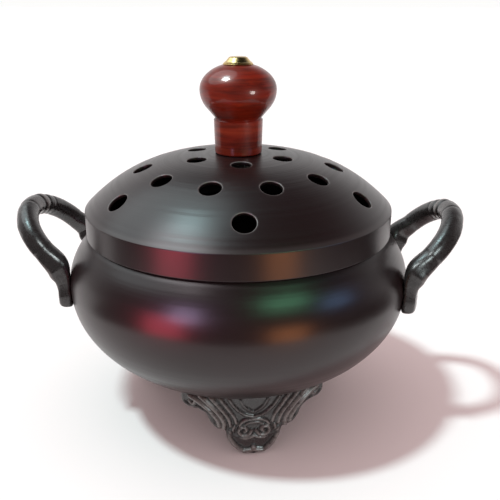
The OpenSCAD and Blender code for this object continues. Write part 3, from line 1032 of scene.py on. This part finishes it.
# Dark cards before and beside the object, which only reflections see, as a dark room would be
CARD_NEAR, CARD_FAR, CARD_Z = 0.19, 6.0, 0.001
card = flat_thing("card", [
    (-CARD_FAR, -CARD_FAR, CARD_Z), (CARD_FAR, -CARD_FAR, CARD_Z),
    (CARD_FAR, -CARD_NEAR, CARD_Z), (-CARD_FAR, -CARD_NEAR, CARD_Z),
    (CARD_NEAR, -CARD_NEAR, CARD_Z), (CARD_NEAR, 0.04, CARD_Z), (CARD_FAR, 2.4, CARD_Z),
    (-CARD_NEAR, -CARD_NEAR, CARD_Z), (-CARD_NEAR, 0.0, CARD_Z), (-CARD_FAR, 0.8, CARD_Z),
], [(0, 1, 2, 3), (4, 2, 6, 5), (7, 8, 9, 3)],
    (0.016, 0.013, 0.012), (0.028, 0.023, 0.021), 0.9, 3)
card.rotation_euler = (0, 0, CAMERA_TURN)
card.visible_camera = card.visible_diffuse = card.visible_shadow = False


def towards(azimuth, elevation):
    """A unit vector, with the azimuth in degrees from the camera's own +X."""
    a = math.radians(azimuth) + CAMERA_TURN
    e = math.radians(elevation)
    return Vector((math.cos(e) * math.cos(a), math.cos(e) * math.sin(a), math.sin(e)))


MIDDLE = Vector((0, 0, 0.07))
LAMP_DISTANCE = 0.2


def add_light(name, kind, direction, power, colour, seen_by, distance=1.0, **values):
    """A light that shines on the object's middle, for diffuse surfaces or for gloss."""
    data = bpy.data.lights.new(name, kind)
    data.energy = power
    data.color = colour
    for key, value in values.items():
        setattr(data, key, value)
    light = bpy.data.objects.new(name, data)
    light.location = MIDDLE + direction * distance
    light.rotation_euler = (-direction).to_track_quat("-Z", "Y").to_euler()
    light.visible_camera = False
    light.visible_diffuse = seen_by == "diffuse"
    light.visible_glossy = seen_by == "gloss"
    bpy.context.scene.collection.objects.link(light)
    return light


add_light("key", "SUN", towards(-165, 66), 2.2, (0.80, 1.0, 1.0), "diffuse",
          angle=math.radians(6))
add_light("sheen", "SUN", towards(175, 68), 0.75, (0.62, 0.97, 1.0), "gloss",
          angle=math.radians(15))
add_light("soft_sheen", "SUN", towards(162, 56), 1.5, (0.88, 0.98, 1.0), "gloss",
          angle=math.radians(60))

SKINS = "bowl_skin", "lid_skin"
CASTINGS = ("handle_casting_right", "handle_casting_left", "foot_front_casting",
            "foot_back_right_casting", "foot_back_left_casting")
TURNINGS = ("knob_turning",)
# The shop's lamps, as only the gloss of some pieces shows them: azimuth, elevation, width,
# height, radiance, colour and pieces
LAMPS = {
    "red": (-128, -3, 0.075, 0.085, 7.5, (1.0, 0.10, 0.16), SKINS),
    "violet": (-118, 13, 0.050, 0.055, 9.0, (0.80, 0.62, 1.0), SKINS),
    "green": (-62, 28, 0.085, 0.040, 5.5, (0.30, 1.0, 0.55), SKINS),
    "blue": (-33, 16, 0.060, 0.040, 3.5, (0.30, 0.55, 1.0), SKINS),
    "orange": (-64, -8, 0.065, 0.065, 4.5, (1.0, 0.36, 0.13), SKINS),
    "grey": (-138, 50, 0.110, 0.070, 5.0, (1.0, 0.90, 0.94), SKINS),
    "gleam": (-105, 42, 0.060, 0.060, 14.0, (0.90, 1.0, 1.0), CASTINGS),
    "glint": (-60, 20, 0.055, 0.055, 13.0, (0.85, 1.0, 1.0), CASTINGS),
    "lamp": (-157, 70, 0.036, 0.036, 90.0, (1.0, 0.98, 0.95), TURNINGS),
    "window": (-48, 17, 0.045, 0.050, 24.0, (1.0, 0.96, 0.90), TURNINGS),
}
for lamp_name, (azimuth, elevation, wide, tall, radiance, colour, lit) in LAMPS.items():
    lit_pieces = bpy.data.collections.new(lamp_name)
    for piece_name in lit:
        lit_pieces.objects.link(bpy.data.objects[piece_name])
    lamp = add_light(lamp_name, "AREA", towards(azimuth, elevation),
                     radiance * math.pi * wide * tall, colour, "gloss", LAMP_DISTANCE,
                     shape="RECTANGLE", size=wide, size_y=tall)
    lamp.light_linking.receiver_collection = lit_pieces


def make_world():
    """White to the camera, a warm plain light on diffuse surfaces, and for gloss a room
    that is dark towards the camera and overhead."""
    world = bpy.data.worlds.new("studio")
    bpy.context.scene.world = world
    world.use_nodes = True
    tree = world.node_tree
    link = tree.links.new

    def ramp(value, low, low_colour, high, high_colour):
        node = tree.nodes.new("ShaderNodeValToRGB")
        for element, place, shade in zip(node.color_ramp.elements, (low, high),
                                         (low_colour, high_colour)):
            element.position = place
            element.color = (*shade, 1)
        link(value, node.inputs["Fac"])
        return node.outputs["Color"]

    def mix(share, a, b, blend="MIX"):
        node = tree.nodes.new("ShaderNodeMix")
        node.data_type = "RGBA"
        node.blend_type = blend
        for socket, value in ((node.inputs["Factor"], share), (node.inputs[6], a),
                              (node.inputs[7], b)):
            if isinstance(value, bpy.types.NodeSocket):
                link(value, socket)
            else:
                socket.default_value = value
        return node.outputs[2]

    split = tree.nodes.new("ShaderNodeSeparateXYZ")
    link(tree.nodes.new("ShaderNodeTexCoord").outputs["Generated"], split.inputs[0])
    half = tree.nodes.new("ShaderNodeMapRange")
    half.inputs["From Min"].default_value = -1
    link(split.outputs["Y"], half.inputs["Value"])
    depth = ramp(half.outputs["Result"], 0.45, (0.08, 0.062, 0.060), 0.82, (0.95, 0.93, 0.93))
    height = ramp(split.outputs["Z"], 0.30, (1, 1, 1), 0.75, (0.06, 0.06, 0.065))
    ray = tree.nodes.new("ShaderNodeLightPath").outputs
    room = mix(1, depth, height, "MULTIPLY")
    plain = mix(ray["Is Diffuse Ray"], room, (0.79, 0.60, 0.60, 1))
    show = mix(ray["Is Camera Ray"], plain, (0.99, 0.985, 0.975, 1))
    link(show, tree.nodes["Background"].inputs["Color"])


make_world()
bpy.context.scene.view_settings.view_transform = "Standard"
